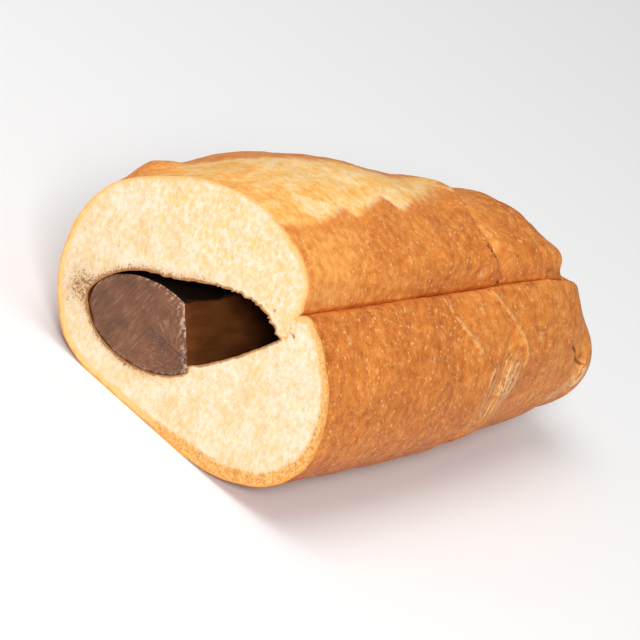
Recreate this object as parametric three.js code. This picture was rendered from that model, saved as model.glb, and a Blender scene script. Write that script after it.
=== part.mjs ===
// Half of a filled french bread roll, cut across its middle.
//
// The roll is a sheet of dough folded over a bar of chocolate. The fold is on the -X side, and the two
// lips of dough meet along the seam, a groove that runs the whole length on the +X side. Beside the bar
// the dough has risen away from it and left a hollow, which opens on the cut face. +Y runs from the cut
// face to the baked end, +Z is up, and everything is in millimetres. The shapes are worked out with the
// cut face at y = 0, and the group then centres the whole piece over the origin, on its flat base.

import * as THREE from 'three';

const { clamp, degToRad, lerp } = THREE.MathUtils;

// ---- driving dimensions: the bread ---------------------------------------------------------------

// Unless a comment says otherwise, a pair of numbers tells where something sets in and where it is full.

const LENGTH = 99.5; // cut face to the tip of the baked end

// Outline on the cut face, as [across, up]: from the seam over the upper lip and the top to the fold,
// then under the flat base and round the lower lip, back to the seam.
const BREAD_OUTLINE = [
  [14.1, 32.4], [13.9, 35.1], [11.6, 38.9], [5.4, 41.9], [-2.7, 42.8], [-11.0, 40.4],
  [-18.6, 36.0], [-25.2, 30.5], [-28.8, 23.6], [-29.1, 16.0],
  [-26.6, 8.4], [-20.8, 2.2], [-13.0, 0], [-2.0, 0], [9.0, 0],
  [18.4, 2.0], [25.6, 7.0], [29.0, 14.4], [27.2, 23.0], [22.2, 29.6], [17.0, 32.9], [14.1, 32.4],
];
const BREAD_FOLD = 9; // the outline's point on the fold

// The bread draws in towards the tip of the baked end. `start` is where that begins, a `slope` near 1
// draws it in steadily and more keeps it full for longer, and more `bluntness` makes the end squarer.
// The side of the lips, the side of the fold, and the height each do so in their own way.
const TIP_ACROSS = 12;
const TIP_UP = 21;
const LIPS_END = { start: 8, slope: 1.43, bluntness: 3.9 };
const FOLD_END = { start: 10, slope: 3.4, bluntness: 3.5 };
const FOLD_SIDE = [18, 0];
const HEIGHT_END = { start: 66.5, slope: 2.35, bluntness: 2.35 };
const TOP_SINK = 0.144; // share of the height that the top loses by the tip
const TOP_SINK_ACROSS = [17, 4]; // the seam keeps its height

// The shoulder is the top on the fold's side. It swells behind the cut, and drops towards the end.
const SHOULDER_ACROSS = [8, -18];
const SHOULDER_UP = [12, 30];
const SWELL = 2.6;
const SWELL_CENTRE = 30;
const SWELL_REACH = 20;
const SWELL_ONSET = [0, 8];
const DROP = 2.0;
const DROP_ONSET = [30, 85];

// The upper lip ends sooner than the lower one.
const UPPER_LIP_DROP = 5.5;
const UPPER_LIP_DROP_ONSET = [81, 94];

// The lower lip's underside draws up where it is pinched.
const WAIST = 1.4;
const WAIST_CENTRE = 71;
const WAIST_REACH = 14;
const WAIST_ONSET = [0.735, 0.79]; // shares of the way round the outline, beyond the flat base
const WAIST_FADING = [0.93, 0.84];

// Creases round the upper lip, where its dough was tucked in towards the end. Each bows to the cut.
const TUCKS = [55, 69.5, 79.5];
const TUCK_BOW = 900;
const TUCK_MIDDLE = 0.09; // place of the bow's middle, as a share of the way round from the seam
const TUCK_STEP = 0.9; // half the height of the step at a crease
const TUCK_WIDTH = 1.0; // of the step
const TUCK_REACH = 6; // of the ridge before it and the dip behind it

// Pinches round the lower lip: [at the seam, at the base].
const PINCHES = [[63, 48], [92, 84]];
const PINCH_DEPTH = 0.7;
const PINCH_WIDTH = 2.2;

// How far round the outline each lip reaches, as shares of the way from the seam.
const UPPER_LIP = { onset: [0, 0.03], fading: [0.32, 0.2] };
const LOWER_LIP = { onset: [0.02, 0.08], fading: [0.3, 0.22], base: 0.25 };

// ---- driving dimensions: the filling and its hollow ----------------------------------------------

// The filling is an oval bar with one side cut flat, which faces the seam.
const BAR_LENGTH = 76;
const BAR_CENTRE = [-8.6, 13.4];
const BAR_HALF_WIDTH = 11.8;
const BAR_HALF_HEIGHT = 7.2;
const BAR_TILT = degToRad(12);
const BAR_FLAT_FACING = degToRad(36.6);
const BAR_FLAT_OFFSET = 7.6; // flat side's distance from the middle of the bar
const BAR_GAP = 0.4; // clearance between the bar and the bread

// Mouth of the hollow: from its tip below the seam over the bar to the fold, and back under the bar.
const HOLLOW_OUTLINE = [
  [13.6, 27.3], [9.5, 29.1], [4.5, 29.2], [-1.5, 27.0], [-8.0, 23.4], [-14.0, 20.6],
  [-18.4, 16.8], [-21.0, 11.5], [-19.0, 8.4], [-14.5, 6.3], [-9.0, 6.6], [-3.0, 8.9],
  [2.5, 13.2], [7.5, 18.6], [11.2, 23.6], [13.6, 27.3],
];
const HOLLOW_FOLD = 7;

// On the cut face, lines from the crust to the hollow bow away from the line below the seam, so that none
// crosses it.
const FACE_BOW = { depth: 1.5, onset: [0, 0.004], fading: [0.09, 0.02] };

const HOLLOW_CLOSING = [14, 45]; // depths at which it starts to close in on the bar, and has done

// ---- fineness of the meshes ----------------------------------------------------------------------

const POINTS_ROUND_BREAD = 72;
const POINTS_ROUND_BAR = 36;
const STATION_STEP = 3.4; // between rings along the roll
const TUCK_STATION_STEP = 1.7; // and where the dough is tucked
const END_RINGS = 8;
const FACE_RINGS = 4;
const STEPS_PER_SPAN = 24; // fineness at which the outlines are measured

// ---- outlines ------------------------------------------------------------------------------------

// 0 at `from`, rising smoothly to 1 at `to`, which may be the lower of the two.
function fade(value, [from, to]) {
  const share = clamp((value - from) / (to - from), 0, 1);
  return share * share * (3 - 2 * share);
}

// A smooth outline with one corner, at its first point. It is read by u, which is 0 and 1 at that
// corner and 0.5 at the point numbered `fold`, with each half spaced evenly.
function readOutline(points, fold) {
  const curve = new THREE.SplineCurve(points.map(([across, up]) => new THREE.Vector2(across, up)));
  curve.arcLengthDivisions = STEPS_PER_SPAN * (points.length - 1);
  const lengths = curve.getLengths();
  const foldShare = lengths[STEPS_PER_SPAN * fold] / lengths.at(-1);
  const share = (u) => (u < 0.5 ? 2 * u * foldShare : foldShare + (2 * u - 1) * (1 - foldShare));
  return {
    point: (u) => curve.getPointAt(share(u)),
    outward: (u) => {
      const along = curve.getTangentAt(share(u));
      return new THREE.Vector2(along.y, -along.x);
    },
  };
}

const breadOutline = readOutline(BREAD_OUTLINE, BREAD_FOLD);
const hollowOutline = readOutline(HOLLOW_OUTLINE, HOLLOW_FOLD);

// ---- the bread's form along its length -----------------------------------------------------------

// 1 where the drawing in starts, and 0 at the tip.
function drawIn(y, { start, slope, bluntness }) {
  const share = clamp((y - start) / (LENGTH - start), 0, 1);
  return (1 - share ** slope) ** (1 / bluntness);
}

function shoulder(outline, y) {
  const onShoulder = fade(outline.x, SHOULDER_ACROSS) * fade(outline.y, SHOULDER_UP);
  const swell = SWELL * Math.exp(-(((y - SWELL_CENTRE) / SWELL_REACH) ** 2)) * fade(y, SWELL_ONSET);
  return onShoulder * (swell - DROP * fade(y, DROP_ONSET));
}

// The dough stands up before each crease and drops behind it.
function tucks(u, y) {
  const onUpperLip = fade(u, UPPER_LIP.onset) * fade(u, UPPER_LIP.fading);
  const bow = TUCK_BOW * (u - TUCK_MIDDLE) ** 2;
  const heights = TUCKS.map((place) => {
    const past = y - place - bow;
    return -TUCK_STEP * Math.tanh(past / TUCK_WIDTH) * Math.exp(-Math.abs(past) / TUCK_REACH);
  });
  return onUpperLip * heights.reduce((sum, height) => sum + height);
}

function upperLipEnd(u, y) {
  const onUpperLip = fade(u, UPPER_LIP.onset) * fade(u, UPPER_LIP.fading);
  return -onUpperLip * UPPER_LIP_DROP * fade(y, UPPER_LIP_DROP_ONSET);
}

function waist(u, y) {
  const onUnderside = fade(u, WAIST_ONSET) * fade(u, WAIST_FADING);
  return -onUnderside * WAIST * Math.exp(-(((y - WAIST_CENTRE) / WAIST_REACH) ** 2));
}

function pinches(u, y) {
  const fromSeam = 1 - u;
  const onLowerLip = fade(fromSeam, LOWER_LIP.onset) * fade(fromSeam, LOWER_LIP.fading);
  const depths = PINCHES.map(([atSeam, atBase]) => {
    const past = y - lerp(atSeam, atBase, clamp(fromSeam / LOWER_LIP.base, 0, 1));
    return PINCH_DEPTH * Math.exp(-((past / PINCH_WIDTH) ** 2));
  });
  return -onLowerLip * depths.reduce((sum, depth) => sum + depth);
}

// A point of the crust, at place u round the outline and distance y from the cut.
function crustPoint(u, y) {
  const outline = breadOutline.point(u);
  const upperLip = tucks(u, y) + upperLipEnd(u, y);
  const lowerLip = waist(u, y) + pinches(u, y);
  outline.addScaledVector(breadOutline.outward(u), shoulder(outline, y) + upperLip + lowerLip);
  const foldSide = fade(outline.x, FOLD_SIDE);
  const width = lerp(drawIn(y, LIPS_END), drawIn(y, FOLD_END), foldSide);
  const sunk = outline.y * (1 - TOP_SINK * fade(outline.x, TOP_SINK_ACROSS) * (y / LENGTH) ** 2);
  const across = lerp(TIP_ACROSS, outline.x, width);
  const up = lerp(TIP_UP, sunk, drawIn(y, HEIGHT_END));
  return new THREE.Vector3(across, y, Math.max(0, up));
}

// ---- the bar and its hollow ----------------------------------------------------------------------

function barRadius(angle) {
  const turned = angle - BAR_TILT;
  const oval = 1 / Math.hypot(Math.cos(turned) / BAR_HALF_WIDTH, Math.sin(turned) / BAR_HALF_HEIGHT);
  const towardsFlat = Math.cos(angle - BAR_FLAT_FACING);
  return towardsFlat > 0 ? Math.min(oval, BAR_FLAT_OFFSET / towardsFlat) : oval;
}

function aroundBar(angle, radius, y) {
  const across = BAR_CENTRE[0] + radius * Math.cos(angle);
  const up = BAR_CENTRE[1] + radius * Math.sin(angle);
  return new THREE.Vector3(across, y, up);
}

// A point of the hollow's wall. Past its mouth the hollow closes in on the bar.
function hollowPoint(u, y) {
  const mouth = hollowOutline.point(u);
  const across = mouth.x - BAR_CENTRE[0];
  const up = mouth.y - BAR_CENTRE[1];
  const angle = Math.atan2(up, across);
  const snug = barRadius(angle) + BAR_GAP;
  const open = Math.max(snug, Math.hypot(across, up));
  return aroundBar(angle, lerp(open, snug, fade(y, HOLLOW_CLOSING)), y);
}

// ---- meshes --------------------------------------------------------------------------------------

const ring = (count, point) => Array.from({ length: count }, (_, i) => point(i / count));

// Evenly spaced distances from one to another, both ends included.
function stations(from, to, step) {
  const count = Math.ceil(Math.abs(to - from) / step);
  return Array.from({ length: count + 1 }, (_, i) => lerp(from, to, i / count));
}

// A closed skin over rings of equal count, drawn to a point before the first and after the last.
function closedSkin(firstTip, rings, lastTip) {
  const count = rings[0].length;
  const at = (r, i) => 1 + r * count + (i % count);
  const points = [firstTip, ...rings.flat(), lastTip];
  const faces = [];
  for (let i = 0; i < count; i++) {
    faces.push(0, at(0, i + 1), at(0, i));
    for (let r = 0; r < rings.length - 1; r++) {
      faces.push(at(r, i), at(r, i + 1), at(r + 1, i + 1));
      faces.push(at(r, i), at(r + 1, i + 1), at(r + 1, i));
    }
    faces.push(points.length - 1, at(rings.length - 1, i), at(rings.length - 1, i + 1));
  }
  const geometry = new THREE.BufferGeometry().setFromPoints(points);
  geometry.setIndex(faces);
  geometry.computeVertexNormals();
  return geometry;
}

// Distances of the crust's rings from the cut, from the tip to the cut. They are closer where the dough
// is tucked, and closest round the tip.
function crustStations() {
  const tuckStart = Math.min(...TUCKS) - TUCK_REACH;
  const endStart = Math.max(...TUCKS) + TUCK_REACH;
  const aroundTip = Array.from({ length: END_RINGS }, (_, i) => {
    const turn = ((i + 1) / (END_RINGS + 1)) * (Math.PI / 2);
    return LENGTH - (LENGTH - endStart) * (1 - Math.cos(turn));
  });
  return [
    ...aroundTip,
    ...stations(endStart, tuckStart, TUCK_STATION_STEP),
    ...stations(tuckStart, 0, STATION_STEP).slice(1),
  ];
}

// A point of the cut face, at a share of the way from the crust to the hollow.
function facePoint(u, share) {
  const fromSeam = Math.min(u, 1 - u);
  const besideSeam = fade(fromSeam, FACE_BOW.onset) * fade(fromSeam, FACE_BOW.fading);
  const bow = FACE_BOW.depth * besideSeam * Math.sin(Math.PI * share);
  const point = crustPoint(u, 0).lerp(hollowPoint(u, 0), share);
  point.x += u < 0.5 ? -bow : bow;
  return point;
}

// One skin: from the tip over the crust to the cut, across the cut face, and on into the hollow.
function breadGeometry() {
  const aroundBread = (point) => ring(POINTS_ROUND_BREAD, point);
  const crust = crustStations().map((y) => aroundBread((u) => crustPoint(u, y)));
  const face = Array.from({ length: FACE_RINGS - 1 }, (_, i) =>
    aroundBread((u) => facePoint(u, (i + 1) / FACE_RINGS)));
  const hollowEnd = BAR_LENGTH + BAR_GAP;
  const hollow = stations(0, hollowEnd, 2 * STATION_STEP).map((y) => aroundBread((u) => hollowPoint(u, y)));
  const tip = new THREE.Vector3(TIP_ACROSS, LENGTH, TIP_UP);
  return closedSkin(tip, [...crust, ...face, ...hollow], aroundBar(0, 0, hollowEnd));
}

function barGeometry() {
  const barPoint = (u, y) => aroundBar(2 * Math.PI * u, barRadius(2 * Math.PI * u), y);
  const rings = stations(BAR_LENGTH, 0, 2 * STATION_STEP).map((y) =>
    ring(POINTS_ROUND_BAR, (u) => barPoint(u, y)));
  return closedSkin(aroundBar(0, 0, BAR_LENGTH), rings, aroundBar(0, 0, 0));
}

function piece(name, geometry, color, roughness) {
  const material = new THREE.MeshStandardMaterial({ color, roughness, metalness: 0 });
  const mesh = new THREE.Mesh(geometry, material);
  mesh.name = name;
  return mesh;
}

const roll = new THREE.Group();
roll.add(
  piece('bread', breadGeometry(), 0xd08a48, 0.75),
  piece('chocolate_bar', barGeometry(), 0x4f3832, 0.45),
);

const size = new THREE.Box3().setFromObject(roll);
roll.position.set(-(size.min.x + size.max.x) / 2, -(size.min.y + size.max.y) / 2, -size.min.z);

export default roll;
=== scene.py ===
# Half of a filled french bread roll, cut across: baked crust, open crumb, and a bar of chocolate in it.

import math

import bmesh
import bpy
import numpy as np
from mathutils import Matrix, Vector, noise


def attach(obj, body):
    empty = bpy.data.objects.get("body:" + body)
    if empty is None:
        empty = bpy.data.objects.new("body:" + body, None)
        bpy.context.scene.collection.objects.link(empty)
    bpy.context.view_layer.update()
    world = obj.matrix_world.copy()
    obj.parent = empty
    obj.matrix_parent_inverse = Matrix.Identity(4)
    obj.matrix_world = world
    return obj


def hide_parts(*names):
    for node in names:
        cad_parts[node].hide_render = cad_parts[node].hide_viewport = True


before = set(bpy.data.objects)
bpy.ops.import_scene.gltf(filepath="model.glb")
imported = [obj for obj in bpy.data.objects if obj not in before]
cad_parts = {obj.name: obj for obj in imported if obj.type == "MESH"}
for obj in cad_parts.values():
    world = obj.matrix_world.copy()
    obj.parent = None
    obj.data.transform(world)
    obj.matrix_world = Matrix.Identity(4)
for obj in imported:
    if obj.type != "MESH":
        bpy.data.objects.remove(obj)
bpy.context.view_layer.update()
MM = 0.001

# ---- the roll's form, in millimetres, with the cut face at y = 0 -------------------------------------

LENGTH = 99.5
SHIFT = np.array([0.7618, -LENGTH / 2, 0.0])  # to the frame, whose origin is under the middle of the piece

BREAD_OUTLINE = [
    (14.1, 32.4), (13.9, 35.1), (11.6, 38.9), (5.4, 41.9), (-2.7, 42.8), (-11.0, 40.4),
    (-18.6, 36.0), (-25.2, 30.5), (-28.8, 23.6), (-29.1, 16.0),
    (-26.6, 8.4), (-20.8, 2.2), (-13.0, 0.0), (-2.0, 0.0), (9.0, 0.0),
    (18.4, 2.0), (25.6, 7.0), (29.0, 14.4), (27.2, 23.0), (22.2, 29.6), (17.0, 32.9), (14.1, 32.4),
]
BREAD_FOLD = 9  # the outline's point at the fold, opposite the seam

# The tip, and how the roll draws in towards it: across, on the lips' side and the fold's, and in height.
TIP_ACROSS, TIP_UP = 12.0, 18.5
LIPS_END = dict(start=8.0, slope=1.43, bluntness=3.9)
FOLD_END = dict(start=10.0, slope=3.4, bluntness=3.5)
FOLD_SIDE = (18.0, 0.0)
HEIGHT_END = dict(start=66.5, slope=2.45, bluntness=2.45)
TOP_SINK, TOP_SINK_ACROSS = 0.144, (17.0, 4.0)

# The swollen shoulder away from the seam, the lower ends of the two lips, and the waist in the underside.
SHOULDER_ACROSS, SHOULDER_UP = (8.0, -18.0), (12.0, 30.0)
SWELL, SWELL_CENTRE, SWELL_REACH, SWELL_ONSET = 2.6, 30.0, 20.0, (0.0, 8.0)
DROP, DROP_ONSET = 2.0, (30.0, 85.0)
UPPER_LIP_DROP, UPPER_LIP_DROP_ONSET = 7.5, (82.5, 88.5)
LOWER_LIP_DROP, LOWER_LIP_DROP_ONSET, LOWER_LIP_TOP = 3.2, (86.0, 97.0), (0.89, 0.985)
HEEL, HEEL_DISTANCE, HEEL_PLACE = 3.3, (95.0, 7.0), (0.87, 0.05)  # fuller lower corner of the baked end
WAIST, WAIST_CENTRE, WAIST_REACH = 1.4, 71.0, 14.0
WAIST_ONSET, WAIST_FADING = (0.735, 0.79), (0.93, 0.84)

# Tucks in the upper lip, as (place round the outline, distance from the cut).
TUCKS = [
    [(0, 62.2), (0.02, 61.0), (0.04, 59.6), (0.06, 58.2),
     (0.09, 57.4), (0.13, 59.2), (0.17, 62.0), (0.24, 63.8)],
    [(0, 76.5), (0.04, 74.4), (0.06, 73.2), (0.09, 73.6), (0.12, 74.6), (0.15, 75.8), (0.24, 77.0)],
    [(0, 82.0), (0.02, 80.2), (0.04, 77.7), (0.07, 77.1), (0.10, 78.6), (0.14, 80.6), (0.24, 82.0)],
]
TUCK_RISES, TUCK_RISE_REACH = (1.4, 0.7, 0.9), 3.0  # of the dough before each tuck
TUCK_FALLS, TUCK_FALL_REACH = (1.8, 0.9, 0.3), 5.5  # and behind it
TUCK_WIDTH, OVER_TOP = 0.8, (0.12, 0.18)
RISE_OVER_TOP, FALL_OVER_TOP = (0.2, 0.1, 0.3), (0.5, 0.15, 0.2)
PINCHES = [(63.0, 48.0), (92.0, 84.0)]  # in the lower lip: distances from the cut, at seam and base
PINCH_DEPTH, PINCH_WIDTH = 0.7, 2.2
UPPER_LIP = dict(onset=(0.0, 0.03), fading=(0.32, 0.2))
LOWER_LIP = dict(onset=(0.02, 0.08), fading=(0.3, 0.22), base=0.25)

BAR_LENGTH = 76.0
BAR_CENTRE = (-8.6, 13.4)
BAR_HALF_WIDTH, BAR_HALF_HEIGHT, BAR_TILT = 11.8, 7.2, math.radians(12)
BAR_FLAT_FACING, BAR_FLAT_OFFSET = math.radians(36.6), 7.6
BAR_GAP = 0.4  # between the bar and the bread round it

HOLLOW_OUTLINE = [
    (13.6, 27.3), (9.5, 29.1), (4.5, 29.2), (-1.5, 27.0), (-8.0, 23.4), (-14.0, 20.6),
    (-18.4, 16.8), (-21.0, 11.5), (-19.0, 8.4), (-14.5, 6.3), (-9.0, 6.6), (-3.0, 8.9),
    (2.5, 13.2), (7.5, 18.6), (11.2, 23.6), (13.6, 27.3),
]
HOLLOW_FOLD = 7
HOLLOW_CLOSING = (14.0, 45.0)  # stretch over which it closes round the bar
FACE_BOW = dict(depth=1.5, onset=(0.0, 0.004), fading=(0.09, 0.02))


def lerp(a, b, share):
    return a + (b - a) * share


def fade(value, onset):
    share = np.clip((value - onset[0]) / (onset[1] - onset[0]), 0, 1)
    return share * share * (3 - 2 * share)


def bell(value, centre, width):
    return np.exp(-(((value - centre) / width) ** 2))


class Outline:
    """A smooth outline with one corner, read by u: 0 and 1 at that corner and 0.5 at the fold."""

    STEPS = 24

    def __init__(self, points, fold):
        points = np.array(points)
        last = len(points) - 1
        share = (np.arange(self.STEPS) / self.STEPS)[:, None]
        spans = []
        for i in range(last):
            a, b = points[i], points[i + 1]
            leave = (b - points[max(i - 1, 0)]) / 2
            arrive = (points[min(i + 2, last)] - a) / 2
            cubic = 2 * a - 2 * b + leave + arrive
            square = -3 * a + 3 * b - 2 * leave - arrive
            spans.append(((cubic * share + square) * share + leave) * share + a)
        self.places = np.concatenate(spans + [points[-1:]])
        lengths = np.linalg.norm(np.diff(self.places, axis=0), axis=1)
        along = np.concatenate([[0], np.cumsum(lengths)]) / lengths.sum()
        at_fold = along[self.STEPS * fold]
        self.u = np.where(along < at_fold, along / at_fold / 2, 0.5 + (along - at_fold) / (1 - at_fold) / 2)
        ahead = np.gradient(self.places, axis=0)
        self.normals = np.stack([ahead[:, 1], -ahead[:, 0]], 1) / np.linalg.norm(ahead, axis=1)[:, None]

    def read(self, table, u):
        return np.stack([np.interp(u, self.u, table[:, k]) for k in (0, 1)], -1)

    def point(self, u):
        return self.read(self.places, u)

    def outward(self, u):
        return self.read(self.normals, u)


bread_outline = Outline(BREAD_OUTLINE, BREAD_FOLD)
hollow_outline = Outline(HOLLOW_OUTLINE, HOLLOW_FOLD)


def draw_in(y, start, slope, bluntness):
    share = np.clip((y - start) / (LENGTH - start), 0, 1)
    return (1 - share ** slope) ** (1 / bluntness)


def shoulder(outline, y):
    on_shoulder = fade(outline[:, 0], SHOULDER_ACROSS) * fade(outline[:, 1], SHOULDER_UP)
    swell = SWELL * bell(y, SWELL_CENTRE, SWELL_REACH) * fade(y, SWELL_ONSET)
    return on_shoulder * (swell - DROP * fade(y, DROP_ONSET))


def on_upper_lip(u):
    return fade(u, UPPER_LIP["onset"]) * fade(u, UPPER_LIP["fading"])


def tucks(u, y):
    heights = 0
    over_top = fade(u, OVER_TOP)
    for number, line in enumerate(TUCKS):
        past = y - np.interp(u, *zip(*line))
        behind = (1 + np.tanh(past / TUCK_WIDTH)) / 2
        rise = TUCK_RISES[number] * (1 + RISE_OVER_TOP[number] * over_top)
        fall = TUCK_FALLS[number] * (1 + FALL_OVER_TOP[number] * over_top)
        heights = heights + rise * (1 - behind) * np.exp(-abs(past) / TUCK_RISE_REACH)
        heights = heights - fall * behind * np.exp(-abs(past) / TUCK_FALL_REACH)
    return on_upper_lip(u) * (heights - UPPER_LIP_DROP * fade(y, UPPER_LIP_DROP_ONSET))


def waist(u, y):
    return -WAIST * bell(y, WAIST_CENTRE, WAIST_REACH) * fade(u, WAIST_ONSET) * fade(u, WAIST_FADING)


def on_lower_lip(u):
    return fade(1 - u, LOWER_LIP["onset"]) * fade(1 - u, LOWER_LIP["fading"])


def pinch_place(u, at_seam, at_base):
    return lerp(at_seam, at_base, np.clip((1 - u) / LOWER_LIP["base"], 0, 1))


def pinches(u, y):
    depths = sum(bell(y, pinch_place(u, *ends), PINCH_WIDTH) for ends in PINCHES)
    return -on_lower_lip(u) * PINCH_DEPTH * depths


def baked_end(u, y):
    heel = HEEL * bell(y, *HEEL_DISTANCE) * bell(u, *HEEL_PLACE)
    return heel - LOWER_LIP_DROP * fade(u, LOWER_LIP_TOP) * fade(y, LOWER_LIP_DROP_ONSET)


def crust_points(u, y, more_relief=0.0):
    outline = bread_outline.point(u)
    relief = shoulder(outline, y) + tucks(u, y) + waist(u, y) + pinches(u, y) + baked_end(u, y) + more_relief
    outline = outline + bread_outline.outward(u) * relief[:, None]
    width = lerp(draw_in(y, **LIPS_END), draw_in(y, **FOLD_END), fade(outline[:, 0], FOLD_SIDE))
    sink = TOP_SINK * fade(outline[:, 0], TOP_SINK_ACROSS) * (y / LENGTH) ** 2
    across = lerp(TIP_ACROSS, outline[:, 0], width)
    up = lerp(TIP_UP, outline[:, 1] * (1 - sink), draw_in(y, **HEIGHT_END))
    return np.stack([across, y, np.maximum(0, up)], -1)


def bar_radius(angle):
    turned = angle - BAR_TILT
    oval = 1 / np.hypot(np.cos(turned) / BAR_HALF_WIDTH, np.sin(turned) / BAR_HALF_HEIGHT)
    towards_flat = np.maximum(np.cos(angle - BAR_FLAT_FACING), 1e-3)
    return np.minimum(oval, BAR_FLAT_OFFSET / towards_flat)


def around_bar(angle, radius, y):
    across = BAR_CENTRE[0] + radius * np.cos(angle)
    up = BAR_CENTRE[1] + radius * np.sin(angle)
    return np.stack([across, y + 0 * across, up], -1)


# ---- helpers ----------------------------------------------------------------------------------------

SAME_RING = 1e-4  # within this, two places along a plain tube are the same
SAME_POINT = 2e-6  # metres, for the points of a pole
SMOOTH_UP_TO = math.radians(40)
NOISE_LOSS, NOISE_STEP, SEED_STEP = 0.9, 2.1, 7.31


def clear_selection():
    if bpy.context.object and bpy.context.object.mode != "OBJECT":
        bpy.ops.object.mode_set(mode="OBJECT")
    bpy.ops.object.select_all(action="DESELECT")


def coordinates(mesh):
    flat = np.empty(len(mesh.vertices) * 3)
    mesh.vertices.foreach_get("co", flat)
    return flat.reshape(-1, 3)


def set_coordinates(mesh, points_mm):
    mesh.vertices.foreach_set("co", ((points_mm + SHIFT) * MM).ravel())
    mesh.update()


def paint(mesh, name, values):
    layer = mesh.attributes.new(name, "FLOAT", "POINT")
    layer.data.foreach_set("value", np.broadcast_to(values, len(mesh.vertices)).astype(float))


def field(points_mm, grain, seed, octaves=2, stretch=(1, 1, 1)):
    """Smooth noise of about -1 to 1, with features of about `grain` millimetres."""
    places = points_mm / (grain * np.array(stretch)) + seed * SEED_STEP
    return np.array([noise.fractal(Vector(place), NOISE_LOSS, NOISE_STEP, octaves) for place in places])


def ribbed_tube(name, sides, spans):
    """A tube of rings round the Z axis. Each span is one unit long and has its own cuts between its ends."""
    clear_selection()
    bpy.ops.mesh.primitive_circle_add(vertices=sides, radius=1, location=(0, 0, 0))
    tube = bpy.context.object
    tube.name = name
    bpy.ops.object.mode_set(mode="EDIT")
    for _ in spans:
        bpy.ops.mesh.extrude_region_move(TRANSFORM_OT_translate={"value": (0, 0, 1)})
    for number, rings in enumerate(spans):
        for cuts in rings:
            sheet = bmesh.from_edit_mesh(tube.data)
            for edge in sheet.edges:
                low, high = sorted(vert.co.z for vert in edge.verts)
                within = low > number - SAME_RING and high < number + 1 + SAME_RING
                edge.select_set(within and high - low > SAME_RING)
            bmesh.update_edit_mesh(tube.data)
            bpy.ops.mesh.subdivide(number_cuts=cuts)
    bpy.ops.object.mode_set(mode="OBJECT")
    return tube


def ring_places(mesh):
    """u round the tube and v along it, for each vertex."""
    places = coordinates(mesh)
    u = np.arctan2(places[:, 1], places[:, 0]) / (2 * math.pi) % 1.0
    return np.where(u > 1 - 1e-6, 0, u), places[:, 2]


def close_poles(piece):
    clear_selection()
    piece.select_set(True)
    bpy.context.view_layer.objects.active = piece
    bpy.ops.object.mode_set(mode="EDIT")
    bpy.ops.mesh.select_all(action="SELECT")
    bpy.ops.mesh.remove_doubles(threshold=SAME_POINT)
    bpy.ops.mesh.normals_make_consistent(inside=False)
    bpy.ops.object.mode_set(mode="OBJECT")


def hand_over(piece, node):
    clear_selection()
    piece.select_set(True)
    bpy.context.view_layer.objects.active = piece
    bpy.ops.object.shade_smooth_by_angle(angle=SMOOTH_UP_TO)
    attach(piece, "root")
    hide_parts(node)
    clear_selection()


# ---- materials ----------------------------------------------------------------------------------------

def colour(red, green, blue):
    """A colour given as a screen shows it, 0 to 255, as the values that a node takes."""
    linear = []
    for share in (red / 255, green / 255, blue / 255):
        linear.append(share / 12.92 if share < 0.04 else ((share + 0.055) / 1.055) ** 2.4)
    return (*linear, 1)


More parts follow.
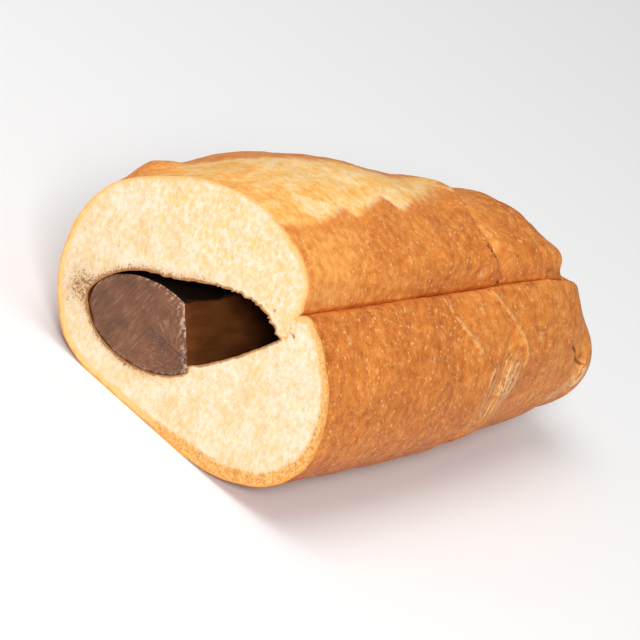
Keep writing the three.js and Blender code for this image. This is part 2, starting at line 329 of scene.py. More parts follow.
class Finish:
    """One material, put together from patterns measured in millimetres."""

    def __init__(self, name, roughness, sheen=0.5):
        self.material = bpy.data.materials.new(name)
        self.material.use_nodes = True
        self.nodes = self.material.node_tree.nodes
        self.links = self.material.node_tree.links
        self.surface = self.nodes["Principled BSDF"]
        self.surface.inputs["Roughness"].default_value = roughness
        self.surface.inputs["Specular IOR Level"].default_value = sheen
        self.places = self.nodes.new("ShaderNodeTexCoord").outputs["Object"]

    def feed(self, socket, value):
        if isinstance(value, bpy.types.NodeSocket):
            self.links.new(value, socket)
        else:
            socket.default_value = value

    def spread(self, size, stretch, turn):
        """Coordinates in steps of `size`, turned first and then stretched along each axis."""
        turned = self.nodes.new("ShaderNodeMapping")
        turned.inputs["Rotation"].default_value = turn
        self.links.new(self.places, turned.inputs["Vector"])
        scaled = self.nodes.new("ShaderNodeMapping")
        scaled.inputs["Scale"].default_value = [1 / (size * MM * share) for share in stretch]
        self.links.new(turned.outputs["Vector"], scaled.inputs["Vector"])
        return scaled.outputs["Vector"]

    def noise_at(self, places, detail, twist=0.0):
        texture = self.nodes.new("ShaderNodeTexNoise")
        texture.inputs["Scale"].default_value = 1.0
        texture.inputs["Detail"].default_value = detail
        texture.inputs["Distortion"].default_value = twist
        self.links.new(places, texture.inputs["Vector"])
        return texture.outputs["Fac"]

    def grain(self, size, detail=2.0, stretch=(1, 1, 1), twist=0.0, turn=(0, 0, 0)):
        """Soft mottling from 0 to 1, with features of about `size`."""
        return self.noise_at(self.spread(size, stretch, turn), detail, twist)

    def dots(self, size, small, large, stretch=(1, 1, 1), turn=(0, 0, 0)):
        """Scattered soft dots about `size` apart, full to `small` and gone at `large` shares of it."""
        texture = self.nodes.new("ShaderNodeTexVoronoi")
        texture.inputs["Scale"].default_value = 1.0
        self.links.new(self.spread(size, stretch, turn), texture.inputs["Vector"])
        return self.ease(texture.outputs["Distance"], large, small)

    def painted(self, name):
        attribute = self.nodes.new("ShaderNodeAttribute")
        attribute.attribute_name = name
        return attribute.outputs["Fac"]

    def stripes(self, width, length):
        """Fine stripes along the nearest line drawn on the crust."""
        joined = self.nodes.new("ShaderNodeCombineXYZ")
        self.links.new(self.sum(0.0, self.painted("across"), 1 / width), joined.inputs[0])
        self.links.new(self.sum(0.0, self.painted("along"), 1 / length), joined.inputs[1])
        return self.noise_at(joined.outputs[0], 1.0)

    def ease(self, value, low, high):
        """0 at `low`, rising smoothly to 1 at `high`."""
        ranger = self.nodes.new("ShaderNodeMapRange")
        ranger.interpolation_type = "SMOOTHSTEP"
        self.feed(ranger.inputs["Value"], value)
        ranger.inputs["From Min"].default_value = low
        ranger.inputs["From Max"].default_value = high
        return ranger.outputs["Result"]

    def calculate(self, operation, *values):
        node = self.nodes.new("ShaderNodeMath")
        node.operation = operation
        for socket, value in zip(node.inputs, values):
            self.feed(socket, value)
        return node.outputs[0]

    def sum(self, first, second, share=1.0):
        """first + second * share"""
        return self.calculate("MULTIPLY_ADD", second, share, first)

    def product(self, first, second):
        return self.calculate("MULTIPLY", first, second)

    def thin_line(self, distance, half_width):
        """1 on a line, from a signed distance to it."""
        return self.ease(self.calculate("ABSOLUTE", distance), half_width, 0.3 * half_width)

    def tones(self, value, *stops):
        """Colours from (value, colour) stops."""
        ramp = self.nodes.new("ShaderNodeValToRGB")
        elements = ramp.color_ramp.elements
        while len(elements) < len(stops):
            elements.new(0.5)
        for element, (place, tone) in zip(elements, stops):
            element.position = place
            element.color = tone
        self.feed(ramp.inputs["Fac"], value)
        return ramp.outputs["Color"]

    def over(self, below, above, share):
        """One colour laid over another by a share."""
        mix = self.nodes.new("ShaderNodeMix")
        mix.data_type = "RGBA"
        self.feed(mix.inputs[0], share)
        self.feed(mix.inputs[6], below)
        self.feed(mix.inputs[7], above)
        return mix.outputs[2]

    def relief(self, height):
        """Fine relief from heights in millimetres."""
        bump = self.nodes.new("ShaderNodeBump")
        bump.inputs["Distance"].default_value = MM
        self.feed(bump.inputs["Height"], height)
        self.links.new(bump.outputs["Normal"], self.surface.inputs["Normal"])

    def finish(self, tone):
        self.feed(self.surface.inputs["Base Color"], tone)
        return self.material


SIDE_DARK = colour(174, 84, 27)
SIDE_BROWN = colour(222, 132, 52)
SIDE_LIGHT = colour(248, 170, 84)
PALE_SWIRL = colour(248, 166, 82)
PALE_ORANGE = colour(255, 188, 94)
PALE_GOLD = colour(255, 204, 124)
PALE_CREAM = colour(255, 222, 168)
EDGE_ORANGE = colour(230, 134, 56)
FLECK_PALE = colour(252, 194, 124)
FLECK_DARK = colour(164, 80, 30)
RIDGE = colour(252, 196, 122)
FLOUR = colour(254, 220, 166)
CREASE_SHADE = colour(130, 62, 22)
CRUMB_SHADE = colour(223, 193, 142)
CRUMB_CREAM = colour(229, 204, 165)
CRUMB_LIGHT = colour(233, 216, 190)
CRUMB_YELLOW = colour(232, 196, 128)
CRUMB_DOT = colour(214, 174, 112)
BAND_BROWN = colour(204, 130, 58)
BAND_GOLD = colour(220, 154, 74)
BAND_PALE = colour(229, 180, 104)
RIM_GOLD = colour(224, 152, 74)
RIM_PALE = colour(235, 190, 122)
SEAM_GOLD = colour(230, 152, 70)
STAIN_WASH = colour(206, 164, 120)
STAIN = colour(134, 86, 56)
EDGE_BROWN = colour(160, 104, 54)
HOLLOW_SHADE = colour(34, 19, 10)
HOLLOW_COCOA = colour(108, 62, 28)
FACE_DARK = colour(92, 54, 33)
FACE_BROWN = colour(110, 67, 41)
FACE_LIGHT = colour(128, 80, 52)
FACE_SCRATCH = colour(158, 111, 80)
FACE_GLINT = colour(204, 166, 142)
SIDE_COCOA = colour(104, 56, 23)
SIDE_COCOA_LIGHT = colour(122, 70, 33)


def crust_finish():
    crust = Finish("baked crust", 0.6, 0.25)
    fine = crust.grain(0.5, 2.0)
    mottle = crust.sum(crust.sum(0.1, crust.grain(12, 2.0), 0.35), crust.grain(1.6, 4.0), 0.65)
    # The painted darkening of the crust also carries painted shade and light beside the first tuck.
    mottle = crust.sum(mottle, crust.painted("browning_and_shade"), -0.2)
    brown = crust.tones(mottle, (0.22, SIDE_DARK), (0.5, SIDE_BROWN), (0.72, SIDE_LIGHT))
    swirls = crust.sum(0.0, crust.grain(5.0, 4.0, (1, 2, 1), 1.2), 0.6)
    swirls = crust.sum(crust.sum(swirls, crust.grain(1.3, 3.0), 0.4), crust.painted("paling"), 0.08)
    pale = crust.tones(
        swirls,
        (0.40, PALE_SWIRL), (0.49, PALE_ORANGE), (0.57, PALE_GOLD), (0.68, PALE_CREAM))
    past_edge = crust.sum(crust.sum(crust.painted("past_pale_edge"), crust.grain(1.6, 3.0), 1.6), -0.8)
    brown = crust.over(brown, EDGE_ORANGE, crust.product(crust.ease(past_edge, -3.0, -0.8), 0.5))
    tone = crust.over(brown, pale, crust.ease(past_edge, -0.7, 0.9))
    ticks = crust.product(crust.dots(1.2, 0.12, 0.32), crust.ease(crust.grain(2.4), 0.40, 0.58))
    specks = crust.product(crust.dots(0.7, 0.10, 0.40), crust.ease(crust.grain(1.7), 0.42, 0.60))
    ticks = crust.product(crust.sum(ticks, specks, 0.7), crust.ease(past_edge, 1.0, -1.0))
    tone = crust.over(tone, FLECK_PALE, crust.product(ticks, 0.7))
    tone = crust.over(tone, FLECK_PALE, crust.product(crust.ease(fine, 0.56, 0.72), 0.25))
    tone = crust.over(tone, FLECK_DARK, crust.product(crust.ease(fine, 0.42, 0.26), 0.35))
    broken = crust.ease(crust.grain(1.2, 2.0), 0.36, 0.52)
    ridge = crust.product(crust.thin_line(crust.painted("across"), 0.6), crust.painted("ridge"))
    ridge = crust.product(ridge, broken)
    tone = crust.over(tone, RIDGE, crust.product(ridge, 0.5))
    folds = crust.product(crust.ease(crust.stripes(0.6, 5.0), 0.48, 0.62), crust.painted("streak"))
    powder = crust.product(crust.painted("powder"), crust.ease(crust.grain(0.7, 3.0), 0.44, 0.60))
    flour = crust.calculate("MAXIMUM", folds, powder)
    tone = crust.over(tone, FLOUR, crust.product(flour, 0.65))
    # Painted shade: a faint dark line along the seam, dark lines in the creases and dark spots in the pits.
    seam = crust.thin_line(crust.sum(crust.painted("past_seam"), crust.grain(1.4, 3.0), 0.3), 0.45)
    crease = crust.product(crust.thin_line(crust.painted("across"), 0.5), crust.painted("shaded_crease"))
    painted_shade = crust.calculate("MAXIMUM", crust.product(seam, 0.08), crust.product(crease, 0.8))
    painted_shade = crust.calculate("MAXIMUM", painted_shade, crust.product(crust.painted("pit_shade"), 0.8))
    tone = crust.over(tone, CREASE_SHADE, painted_shade)
    height = crust.sum(crust.sum(0.0, fine, 0.08), ticks, 0.06)
    crust.relief(crust.sum(crust.sum(height, folds, 0.12), ridge, 0.1))
    return crust.finish(tone)


def crumb_finish():
    crumb = Finish("open crumb", 0.9, 0.1)
    cloud = crumb.grain(3.4, 3.0)
    net = crumb.grain(0.9, 3.0, (0.9, 1, 1.3))
    small = crumb.grain(0.5, 2.0)
    tone = crumb.tones(
        crumb.sum(crumb.sum(0.0, cloud, 0.45), net, 0.55),
        (0.38, CRUMB_SHADE), (0.48, CRUMB_CREAM), (0.60, CRUMB_LIGHT))
    tone = crumb.over(tone, CRUMB_YELLOW, crumb.product(crumb.painted("pore"), crumb.ease(net, 0.62, 0.40)))
    tone = crumb.over(tone, CRUMB_DOT, crumb.product(crumb.ease(small, 0.42, 0.28), 0.4))
    wander = crumb.sum(-0.45, crumb.grain(1.3, 3.0), 0.9)
    inside = crumb.sum(crumb.painted("from_rim"), wander)
    past_band = crumb.sum(inside, crumb.painted("band"), -1.0)
    porous = crumb.tones(small, (0.34, BAND_BROWN), (0.48, BAND_GOLD), (0.62, BAND_PALE))
    wide = crumb.ease(crumb.painted("band"), 1.1, 1.6)
    band = crumb.over(RIM_PALE, porous, wide)
    tone = crumb.over(tone, band, crumb.product(crumb.ease(past_band, 0.5, -0.3), 0.9))
    tone = crumb.over(tone, RIM_GOLD, crumb.product(crumb.ease(inside, 0.55, 0.15), crumb.painted("crisp")))
    seam = crumb.product(crumb.painted("seam_line"), crumb.ease(crumb.grain(0.8, 3.0), 0.44, 0.58))
    tone = crumb.over(tone, SEAM_GOLD, seam)
    tone = crumb.over(tone, STAIN_WASH, crumb.product(crumb.painted("stain"), 0.7))
    smear = crumb.sum(crumb.painted("stain"), crumb.grain(0.36, 2.0, (1.3, 1, 0.9)), 3.0)
    tone = crumb.over(tone, STAIN, crumb.product(crumb.ease(smear, 2.1, 2.7), 0.8))
    edge = crumb.ease(crumb.sum(crumb.painted("from_hollow"), wander, 0.8), 0.55, 0.15)
    tone = crumb.over(tone, EDGE_BROWN, crumb.product(edge, 0.9))
    crumb.relief(crumb.sum(crumb.sum(0.0, net, 0.20), small, 0.12))
    return crumb.finish(tone)


def hollow_finish():
    hollow = Finish("chocolate-stained hollow with painted shade", 0.6, 0.3)
    streaks = hollow.grain(1.6, 3.0, (1, 2.5, 1))
    cocoa = hollow.tones(streaks, (0.36, SIDE_COCOA), (0.64, HOLLOW_COCOA))
    # Painted shade: near-black over the hollow's upper wall, laid on the chocolate stain.
    tone = hollow.over(cocoa, HOLLOW_SHADE, hollow.painted("ceiling_shade"))
    hollow.relief(hollow.sum(0.0, hollow.grain(0.7, 2.0), 0.3))
    return hollow.finish(tone)


def chocolate_face_finish():
    face = Finish("cut chocolate", 0.4, 0.5)
    broad = face.grain(3.5, 3.0)
    slanted = face.grain(0.38, 2.0, (1, 1, 9), 0.0, (0, -0.24, 0))
    arcs = face.stripes(0.38, 3.5)
    drawn = face.sum(slanted, face.product(face.sum(arcs, slanted, -1.0), face.painted("beside_flat")))
    tone = face.tones(
        face.sum(face.sum(0.0, broad, 0.6), drawn, 0.4),
        (0.36, FACE_DARK), (0.5, FACE_BROWN), (0.64, FACE_LIGHT))
    scratches = face.product(face.ease(drawn, 0.56, 0.68), face.ease(broad, 0.38, 0.60))
    tone = face.over(tone, FACE_SCRATCH, face.product(scratches, 0.5))
    # Painted glints: pale flecks on the chipped edge of the cut face, strongest towards the flat side and
    # the top.
    glints = face.product(face.painted("edge"), face.ease(face.grain(0.5, 3.0, (1, 1, 1.8)), 0.48, 0.60))
    tone = face.over(tone, FACE_GLINT, face.product(glints, 0.8))
    face.relief(face.sum(face.sum(0.0, drawn, 0.22), face.grain(0.9, 3.0), 0.25))
    return face.finish(tone)


def chocolate_side_finish():
    side = Finish("chocolate side", 0.45, 0.4)
    streaks = side.grain(1.8, 3.0, (1, 4, 1))
    tone = side.tones(streaks, (0.36, SIDE_COCOA), (0.62, SIDE_COCOA_LIGHT))
    # Painted shadow: a near-black band along the flat side below its upper edge, where the crumb above
    # shades it.
    shade = side.sum(side.painted("below_top"), side.grain(1.6, 3.0, (1, 2, 1)), 3.0)
    side.relief(side.sum(0.0, streaks, 0.2))
    return side.finish(side.over(tone, HOLLOW_SHADE, side.ease(shade, 4.4, 3.6)))


# ---- the bread ----------------------------------------------------------------------------------------

AROUND = 162.0  # length of the bread's outline
BREAD_SIDES = 360
BREAD_SPANS = [[11, 11], [75], [33]]  # cuts of the crust, of the cut face, and of the hollow
TIP_REACH, TIP_SHARE = 12.0, 0.2  # stretch at the tip with closer rings, and its share of them
TIP_CLOSING = 2.5  # power that sets those rings closer together towards the tip
LAST_HOLLOW_RING = 33 / 34
TOUCH = 0.08  # between the bar and the crumb that clings to it
MOUTH_CLOSING = 1.6  # power that sets the hollow's rings closer together towards its mouth

# The two lips press together along the seam, and fill its groove in part.
SEAM_FILL, SEAM_FILL_ABOVE, SEAM_FILL_BELOW = (0.45, 0.75), 1.6, 2.4

# The pale top: its edge on the seam's side and its far edge, as (distance from the cut, place round).
PALE_EDGE = [
    (0, 0.130), (6.9, 0.123), (11.1, 0.125), (16, 0.132), (20.8, 0.142), (22.6, 0.127), (28.4, 0.139),
    (35, 0.157), (37.7, 0.132), (44.3, 0.150), (48.5, 0.155), (58, 0.185), (66, 0.21),
    (80, 0.26), (LENGTH, 0.30),
]
PALE_FAR_EDGE = [
    (0, 0.36), (12, 0.34), (19, 0.31), (27, 0.27), (37, 0.24), (45, 0.225), (60, 0.23), (LENGTH, 0.23),
]

# Lines on the crust, as (place round the outline, distance from the cut).
# The creases are also painted dark along their length, as painted shade in their gaps.
CREASES = [
    [(0.0, 61.3), (0.021, 60.3), (0.036, 59.1), (0.052, 57.7), (0.066, 56.6)],
    [(0.918, 84.5), (0.912, 86.5), (0.902, 87.6), (0.893, 90.2)],
]
RIDGES = [
    [(0.986, 40.8), (0.971, 42.5), (0.955, 45.2), (0.936, 49.2)],
    [(0.986, 56.3), (0.971, 58.7), (0.953, 62.0), (0.942, 63.6), (0.932, 64.7), (0.923, 65.4),
     (0.914, 64.7)],
]
STREAKS = [
    [(0.912, 54.1), (0.895, 53.4), (0.879, 53.0), (0.861, 55.6)],
    [(0.922, 60.0), (0.908, 58.7), (0.888, 58.7), (0.863, 58.1)],
    [(0.913, 62.5), (0.901, 61.8), (0.889, 60.9), (0.877, 59.6)],
    [(0.893, 92.0), (0.880, 90.8), (0.868, 88.6), (0.855, 86.0)],
]

# Spots on the crust, as (place round, distance from the cut, size).
POWDER = [
    (0.907, 60.5, 1.8), (0.893, 59.2, 2.2), (0.884, 91.3, 1.6), (0.872, 89.0, 1.8), (0.855, 85.0, 2.0),
    (0.026, 54.1, 0.9), (0.175, 60.8, 1.6), (0.939, 32.6, 0.6), (0.958, 36.8, 0.6), (0.974, 51.4, 0.6),
    (0.938, 69.6, 0.6), (0.968, 64.3, 0.7), (0.967, 8.0, 0.5), (0.920, 13.3, 0.6), (0.952, 78.4, 0.6),
    (0.078, 18.2, 0.6), (0.023, 17.3, 0.5),
]
# The pits are dark spots of painted shade, with no relief of their own.
PITS = [
    (0.019, 77.8, 0.7), (0.008, 77.6, 0.6), (0.991, 70.2, 0.6), (0.989, 68.0, 0.5), (0.027, 43.0, 0.5),
    (0.030, 52.7, 0.5), (0.037, 49.6, 0.5), (0.927, 59.4, 0.6), (0.903, 89.0, 0.6),
]
LUMP = (0.375, 7.5, 5.0, 5.0, 1.7)  # place round, distance from the cut, spreads both ways, and height

# Relief of the crust: waves as (height, length), and (height, half width) of what is drawn on it.
CRUST_WAVES = ((0.36, 14), (0.14, 4.5), (0.06, 1.8))
CREASE_RELIEF, RIDGE_RELIEF, STREAK_RELIEF = (-0.8, 0.6), (0.22, 0.9), (0.22, 1.2)

# The pale top's softness beside the cut and past the stretch given, and that of its far edge, which wanders.
PALE_SOFTNESS, PALE_SOFTENING = (1.3, 4.5), (40, 60)
FAR_SOFTNESS, FAR_WANDER, FAR_WAVES = 4, 2.5, 7
PALE_LOSS, PALE_END, PALING = 3, (64, 90), (3, 24)

# How brown the lips of dough are beside the cut, what is added along them, and how much darker towards the
# base.
UPPER_BROWN, UPPER_BROWNING, UPPER_STRETCH = 0.05, 0.7, (8, 42)
LOWER_BROWN, LOWER_BROWNING, LOWER_STRETCH = 0.85, -0.25, (25, 70)
BASE_DARKENING, BASE_STRETCH, LIP_CHANGE = 1.35, (18, 1), (0.3, 0.6)
# Painted shade and light beside the first tuck: darker before its edge and just past it, lighter further
# behind.
TUCK_SHADING = ((0.3, -2.5, 2), (0.7, 0.5, 1), (-0.5, 3.5, 3))  # amount, place past the first tuck, spread


def crust_distance(v):
    """Distance of the crust's rings from the cut, from the tip at v = 0 to the cut at v = 1."""
    near_tip = LENGTH - TIP_REACH * (v / TIP_SHARE) ** TIP_CLOSING
    along = (LENGTH - TIP_REACH) * (1 - v) / (1 - TIP_SHARE)
    return np.where(v < TIP_SHARE, near_tip, along)


def drawn_lines(u, y):
    """For each place on the crust: signed distance across the nearest line, distance along it, its kind."""
    here = np.stack([u * AROUND, y], 1)
    across = np.full(len(u), 9.0)
    along = np.zeros(len(u))
    kind = np.zeros(len(u), int)
    kinds = enumerate((CREASES, RIDGES, STREAKS), 1)
    for number, line in [(number, line) for number, lines in kinds for line in lines]:
        walked = 0.0
        for (u_from, y_from), (u_to, y_to) in zip(line, line[1:]):
            start = np.array([u_from * AROUND, y_from])
            step = np.array([u_to * AROUND, y_to]) - start
            length = np.hypot(*step)
            share = np.clip((here - start) @ step / length ** 2, 0, 1)
            away = here - start - share[:, None] * step
            distance = np.hypot(away[:, 0], away[:, 1])
            side = np.sign(step[0] * away[:, 1] - step[1] * away[:, 0])
            nearer = distance < np.abs(across)
            across = np.where(nearer, distance * np.where(side == 0, 1, side), across)
            along = np.where(nearer, walked + share * length, along)
            kind = np.where(nearer, number, kind)
            walked += length
    return across, along, kind


def spot(u, y, centre_u, centre_y, spread_u, spread_y):
    return bell((u - centre_u) * AROUND, 0, spread_u) * bell(y, centre_y, spread_y)


def crust_relief(u, y, smooth, across, kind):
    relief = sum(height * field(smooth, size, seed) for seed, (height, size) in enumerate(CRUST_WAVES, 1))
    for number, (height, half_width) in enumerate((CREASE_RELIEF, RIDGE_RELIEF, STREAK_RELIEF), 1):
        relief += height * bell(across, 0, half_width) * (kind == number)
    *place, height = LUMP
    return relief + height * spot(u, y, *place) * fade(y, (0, 2.5))


def spots(u, y, places):
    return np.clip(sum(spot(u, y, at_u, at_y, size, size) for at_u, at_y, size in places), 0, 1)


def paint_crust(mesh, u, y, smooth, across, along, kind):
    from_seam = np.minimum(u, 1 - u) * AROUND
    paint(mesh, "past_seam", np.where(u < 0.5, 1, -1) * from_seam)
    softness = lerp(*PALE_SOFTNESS, fade(y, PALE_SOFTENING))
    past_edge = (u - np.interp(y, *zip(*PALE_EDGE))) * AROUND / softness
    short_of_far_edge = (np.interp(y, *zip(*PALE_FAR_EDGE)) - u) * AROUND
    past_far_edge = (short_of_far_edge + FAR_WANDER * field(smooth, FAR_WAVES, 4)) / FAR_SOFTNESS
    past_either = np.minimum(past_edge, past_far_edge) - PALE_LOSS * fade(y, PALE_END)
    paint(mesh, "past_pale_edge", np.clip(past_either, -4, 4))
    paint(mesh, "paling", fade(y, PALING))
    upper = UPPER_BROWN + UPPER_BROWNING * fade(y, UPPER_STRETCH)
    lower = LOWER_BROWN + LOWER_BROWNING * fade(y, LOWER_STRETCH)
    lower = lower + BASE_DARKENING * fade(smooth[:, 2], BASE_STRETCH)
    # Painted shade and light beside the first tuck, added to the crust's darkening.
    past_tuck = y - np.interp(u, *zip(*TUCKS[0]))
    tuck_shading = on_upper_lip(u) * sum(amount * bell(past_tuck, *place) for amount, *place in TUCK_SHADING)
    paint(mesh, "browning_and_shade", lerp(upper, lower, fade(u, LIP_CHANGE)) + tuck_shading)
    paint(mesh, "across", across)
    paint(mesh, "along", along)
    reaches = {"shaded_crease": (1.2, 0.8), "ridge": (1.2, 0.8), "streak": (2.2, 0.8)}
    for number, (name, reach) in enumerate(reaches.items(), 1):
        paint(mesh, name, (kind == number) * fade(np.abs(across), reach))
    paint(mesh, "powder", spots(u, y, POWDER))
    paint(mesh, "pit_shade", spots(u, y, PITS))


# Pores in the crumb: large ones at the top, on the side away from the seam, and small ones all over.
PORES = (
    dict(seed=11, count=110, sizes=(0.45, 0.95), middle=(-10, 33), spread=(8, 5)),
    dict(seed=12, count=460, sizes=(0.3, 0.6), middle=(0, 22), spread=(14, 12)),
)
PORE_WIDENING, PORE_FULL = 0.8, 0.6
PORE_DEPTH, CRUMB_SWELL, CRUMB_GRAIN = 0.26, 0.14, 0.07
PLAIN_EDGE = (0, 0.8)  # beside an edge of the cut face, where its relief sets in
HIGH_CRUMB, HIGH_YELLOW = (23, 36), 0.4

# Crust seen on the cut face: its width and how crisp its edge is, at places round the outline.
BAND_PLACES = (0.0, 0.10, 0.16, 0.40, 0.46, 0.62, 0.70, 0.74, 0.86, 0.90, 1.0)
BAND_WIDTHS = (1.1, 1.20, 0.35, 0.35, 0.90, 1.10, 1.30, 2.20, 2.20, 1.50, 1.3)
BAND_CRISPNESS = (0.7, 0.8, 0.25, 0.25, 0.6, 1, 1, 1, 1, 0.9, 0.8)
SEAM_LINE = ((14.3, 32.2), (13.8, 27.6))  # the seam's golden trace in the crumb, from groove to hollow

# Chocolate on the crumb: a smear left of the bar, a rim round the mouth on the bar's side, and two specks.
SMEAR_ACROSS, SMEAR_UP = (-22.8, 2.6), (11.0, 3.5)
MOUTH_STAIN, MOUTH_STAIN_WIDTH, MOUTH_STAIN_ACROSS = 1.15, 1.0, (4, -8)
SPECKS, SPECK_SIZE = ((9.8, 30.2), (15.1, 29.0)), 0.3

# Torn crumb at the mouth of the hollow, whose outline is about MOUTH_AROUND long.
MOUTH_AROUND, TOOTH, TOOTH_LENGTH = 80, 1.3, 0.75
TEETH_FROM, TEETH_TO = (0.0, 0.015), (0.24, 0.14)
TEAR, TEAR_SIZE, TEAR_DEPTH = 0.25, 1.4, (4, 0)


def scattered_pores(places, seed, count, sizes, middle, spread):
    """Depth of scattered oval pores at places on the cut face."""
    rng = np.random.default_rng(seed)
    depth = np.zeros(len(places))
    for centre, size in zip(rng.normal(middle, spread, (count, 2)), rng.uniform(*sizes, count)):
        wide = 1 + PORE_WIDENING * rng.random()
        away = np.hypot((places[:, 0] - centre[0]) / wide, places[:, 1] - centre[1]) / size
        depth = np.maximum(depth, np.clip(1 - away ** 2, 0, 1) * size)
    return depth


def distance_to(places, outline_points):
    """Distance of each [across, up] place from the nearest of many points of an outline."""
    return np.array([np.hypot(*(outline_points - place).T).min() for place in places])


def fill_seam(points, u, y):
    from_seam = np.minimum(u, 1 - u) * AROUND
    near = np.where(u < 0.5, bell(from_seam, 0, SEAM_FILL_ABOVE), bell(from_seam, 0, SEAM_FILL_BELOW))
    near = near * (1 - 0.9 * bell(from_seam, 0, 0.3)) * fade(y, (LENGTH, LENGTH - 12))
    points[:, 0] += SEAM_FILL[0] * near
    points[:, 2] += SEAM_FILL[1] * near
    return points


def clinging_hollow(u, y, ragged):
    """The hollow's wall, with its crumb torn at the mouth and clinging to the bar."""
    mouth = hollow_outline.point(u) - BAR_CENTRE
    angle = np.arctan2(mouth[:, 1], mouth[:, 0])
    snug = bar_radius(angle)
    clear = np.maximum(0, np.hypot(mouth[:, 0], mouth[:, 1]) - snug - BAR_GAP)
    clear = np.maximum(0, clear + ragged * fade(clear, (0, 1.5)))
    return around_bar(angle, snug + TOUCH + clear * (1 - fade(y, HOLLOW_CLOSING)), y)


def ragged_edge(u):
    """Torn crumb round the hollow's mouth, with teeth over it on the seam's side."""
    place = u * MOUTH_AROUND
    saw = np.abs(2 * ((place + 0.4 * np.sin(place * 1.7)) / TOOTH % 1) - 1)
    uneven = 0.6 + 0.4 * np.sin(place * 2.3)
    teeth = -TOOTH_LENGTH * saw * uneven * fade(u, TEETH_FROM) * fade(u, TEETH_TO)
    return teeth + TEAR * field(np.stack([place, 0 * u, 0 * u], 1), TEAR_SIZE, 6)


def make_bread():
    bread = ribbed_tube("bread_roll", BREAD_SIDES, BREAD_SPANS)
    mesh = bread.data
    for finish in (crust_finish(), crumb_finish(), hollow_finish()):
        mesh.materials.append(finish)
    centres = np.empty(len(mesh.polygons) * 3)
    mesh.polygons.foreach_get("center", centres)
    mesh.polygons.foreach_set("material_index", centres.reshape(-1, 3)[:, 2].astype(int).clip(0, 2))
    u, v = ring_places(mesh)
    v = v.round(5)

    y = np.where(v <= 1, crust_distance(np.minimum(v, 1)), 0)
    across, along, kind = drawn_lines(u, y)
    smooth = crust_points(u, y)
    crust = fill_seam(crust_points(u, y, crust_relief(u, y, smooth, across, kind)), u, y)
    paint_crust(mesh, u, y, smooth, across, along, kind)

    across_face = np.clip(v - 1, 0, 1)
    into_hollow = np.clip((v - 2) / LAST_HOLLOW_RING, 0, 1)
    depth = (BAR_LENGTH + BAR_GAP) * into_hollow ** MOUTH_CLOSING
    hollow = clinging_hollow(u, depth, ragged_edge(u) * fade(depth, TEAR_DEPTH))
    face = lerp(crust, hollow, across_face[:, None])
    from_seam = np.minimum(u, 1 - u)
    beside_seam = fade(from_seam, FACE_BOW["onset"]) * fade(from_seam, FACE_BOW["fading"])
    face[:, 0] += np.where(u < 0.5, -1, 1) * FACE_BOW["depth"] * beside_seam * np.sin(np.pi * across_face)

    section = face[:, [0, 2]]
    on_face = (v >= 1) & (v <= 2)
    from_rim, from_hollow = np.full(len(u), 9.0), np.full(len(u), 9.0)
    from_rim[on_face] = distance_to(section[on_face], section[v == 1])
    from_hollow[on_face] = distance_to(section[on_face], section[v == 2])
    inside = fade(from_rim, PLAIN_EDGE) * fade(from_hollow, PLAIN_EDGE)
    pores = np.maximum(*(scattered_pores(section, **some) for some in PORES))
    pores *= fade(field(face, 0.9, 9), (-0.5, 0.5))
    grain = CRUMB_GRAIN * field(face, 0.9, 8, 2, (1, 1, 1.6))
    sunk = PORE_DEPTH * pores + CRUMB_SWELL * (1 + field(face, 3.5, 7)) + grain
    face[:, 1] += np.maximum(0, sunk) * inside
    paint_face(mesh, u, section, from_rim, from_hollow, pores)
    # Painted shade over the hollow's upper wall, away from its corner at the seam.
    paint(mesh, "ceiling_shade", fade(u, (0.5, 0.46)) * fade(u, (0.05, 0.14)))

    points = np.where((v <= 1)[:, None], crust, face)
    points = np.where((v > 2)[:, None], hollow, points)
    points[v >= 3] = around_bar(0.0, 0.0, BAR_LENGTH + BAR_GAP)
    set_coordinates(mesh, points)
    close_poles(bread)
    hand_over(bread, "bread")


def paint_face(mesh, u, section, from_rim, from_hollow, pores):
    paint(mesh, "from_rim", from_rim)
    paint(mesh, "from_hollow", from_hollow)
    yellow = HIGH_YELLOW * fade(section[:, 1], HIGH_CRUMB)
    paint(mesh, "pore", np.clip(pores / PORE_FULL + yellow, 0, 1))
    paint(mesh, "band", np.interp(u, BAND_PLACES, BAND_WIDTHS))
    paint(mesh, "crisp", np.interp(u, BAND_PLACES, BAND_CRISPNESS))
    paint(mesh, "seam_line", bell(distance_to(section, np.linspace(*SEAM_LINE, 20)), 0, 0.5))
    left_of_bar = bell(section[:, 0], *SMEAR_ACROSS) * bell(section[:, 1], *SMEAR_UP)
    around_mouth = bell(from_hollow, 0, MOUTH_STAIN_WIDTH) * fade(section[:, 0], MOUTH_STAIN_ACROSS)
    specks = sum(bell(np.hypot(*(section - place).T), 0, SPECK_SIZE) for place in SPECKS)
    paint(mesh, "stain", np.clip(left_of_bar + MOUTH_STAIN * around_mouth + 2 * specks, 0, 1))


# ---- the chocolate bar --------------------------------------------------------------------------------

BAR_SIDES = 240
BAR_SPANS = [[23], [47]]  # cuts of the side and of the cut face
FIRST_SIDE_RING = 1 / 24
BAR_FLAT_TOP = 6.0  # upper edge of the flat side, from its middle
SIDE_CLOSING = 1.5  # power that sets the side's rings closer together towards the cut
CHIP, CHIP_SIZE, CHIP_REACH = 0.20, 1.3, (1.5, 0)
SIDE_WAVE, ROUNDING, CHIP_ROUNDING, FACE_STANDS_OUT = 0.06, 0.12, 0.25, -0.25
FACE_WAVES = ((0.16, 3.0), (0.07, 0.8))


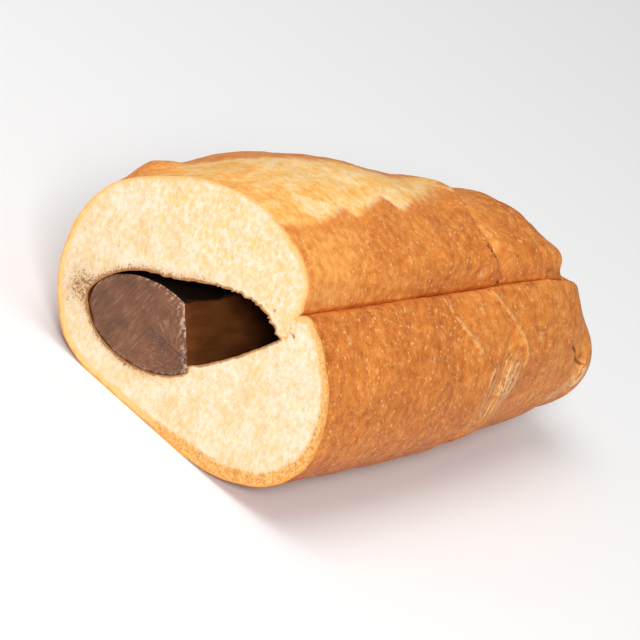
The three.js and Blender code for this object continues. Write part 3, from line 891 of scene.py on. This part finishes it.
def make_bar():
    bar = ribbed_tube("chocolate_filling", BAR_SIDES, BAR_SPANS)
    mesh = bar.data
    for finish in (chocolate_side_finish(), chocolate_face_finish()):
        mesh.materials.append(finish)
    centres = np.empty(len(mesh.polygons) * 3)
    mesh.polygons.foreach_get("center", centres)
    mesh.polygons.foreach_set("material_index", centres.reshape(-1, 3)[:, 2].astype(int).clip(0, 1))
    u, v = ring_places(mesh)
    v = v.round(5)
    angle = 2 * np.pi * u
    y = BAR_LENGTH * (1 - np.clip((v - FIRST_SIDE_RING) / (1 - FIRST_SIDE_RING), 0, 1)) ** SIDE_CLOSING
    share = np.where(v <= 1, (v > 0).astype(float), 2 - v)
    radius = bar_radius(angle)
    side = around_bar(angle, radius, y)
    chips = np.clip(field(side, CHIP_SIZE, 21), 0, 1) * fade(y, CHIP_REACH)
    radius = radius + SIDE_WAVE * field(side, 5, 22) - CHIP * chips
    points = around_bar(angle, radius * share, y)
    on_face = v >= 1
    from_edge = radius * (1 - share)
    rough = sum(height * field(points, size, seed) for seed, (height, size) in enumerate(FACE_WAVES, 23))
    rounding = ROUNDING * fade(from_edge, (0.5, 0)) + CHIP_ROUNDING * chips * fade(from_edge, (1.0, 0))
    points[:, 1] += on_face * np.maximum(FACE_STANDS_OUT, rough + rounding)
    paint(mesh, "below_top", BAR_FLAT_TOP - bar_radius(angle) * np.sin(angle - BAR_FLAT_FACING))
    paint(mesh, "across", from_edge)
    paint(mesh, "along", radius * angle)
    paint(mesh, "beside_flat", fade(points[:, 0] - BAR_CENTRE[0], (-1, 3)))
    # The edge mask below carries painted glints along the cut face's edge.
    towards_flat = fade(np.cos(angle - BAR_FLAT_FACING), (0.55, 0.85))
    around = np.clip(0.35 + towards_flat + 0.4 * fade(np.sin(angle), (0.5, 0.9)), 0, 1)
    paint(mesh, "edge", on_face * bell(from_edge, 0, 0.5 + 0.7 * towards_flat) * around)
    set_coordinates(mesh, points)
    close_poles(bar)
    hand_over(bar, "chocolate_bar")


make_bread()
make_bar()

# ---- floor, light and camera --------------------------------------------------------------------------

clear_selection()
bpy.ops.mesh.primitive_plane_add(size=4, location=(0, 0, 0))
floor = bpy.context.object
floor.name = "floor"
floor_finish = Finish("pale floor", 0.9, 0.0)
floor.data.materials.append(floor_finish.finish(colour(250, 250, 250)))

scene = bpy.context.scene
scene.view_settings.view_transform = "Standard"
scene.world = bpy.data.worlds.new("studio")
scene.world.use_nodes = True
sky = scene.world.node_tree.nodes["Background"]
sky.inputs["Color"].default_value = (1.0, 1.0, 1.0, 1.0)
sky.inputs["Strength"].default_value = 0.35


def soft_light(name, azimuth, height, size, power):
    """A square light that faces the roll, at an azimuth and a height above the horizon in degrees."""
    turn, rise = math.radians(azimuth), math.radians(height)
    place = Vector((math.sin(turn) * math.cos(rise), -math.cos(turn) * math.cos(rise), math.sin(rise)))
    bpy.ops.object.light_add(type="AREA", location=place)
    light = bpy.context.object
    light.name = name
    light.rotation_euler = place.to_track_quat("Z", "Y").to_euler()
    light.data.size = size
    light.data.energy = power
    clear_selection()


soft_light("front light", 30, 28, 0.2, 6.0)
soft_light("top light", -20, 68, 0.7, 4.6)

CAMERA_PLACE = (0.40261, -0.87814, 0.41073)
CAMERA_RIGHT = Vector((0.69525, 0.53869, 0.47585))
CAMERA_UP = Vector((-0.60440, 0.07986, 0.79267))
bpy.ops.object.camera_add(location=CAMERA_PLACE)
camera = bpy.context.object
turned = Matrix((CAMERA_RIGHT, CAMERA_UP, CAMERA_RIGHT.cross(CAMERA_UP))).transposed()
camera.rotation_euler = turned.to_euler()
camera.data.lens = 348.8
camera.data.sensor_width = 36
camera.data.clip_start = 0.05
scene.camera = camera
clear_selection()
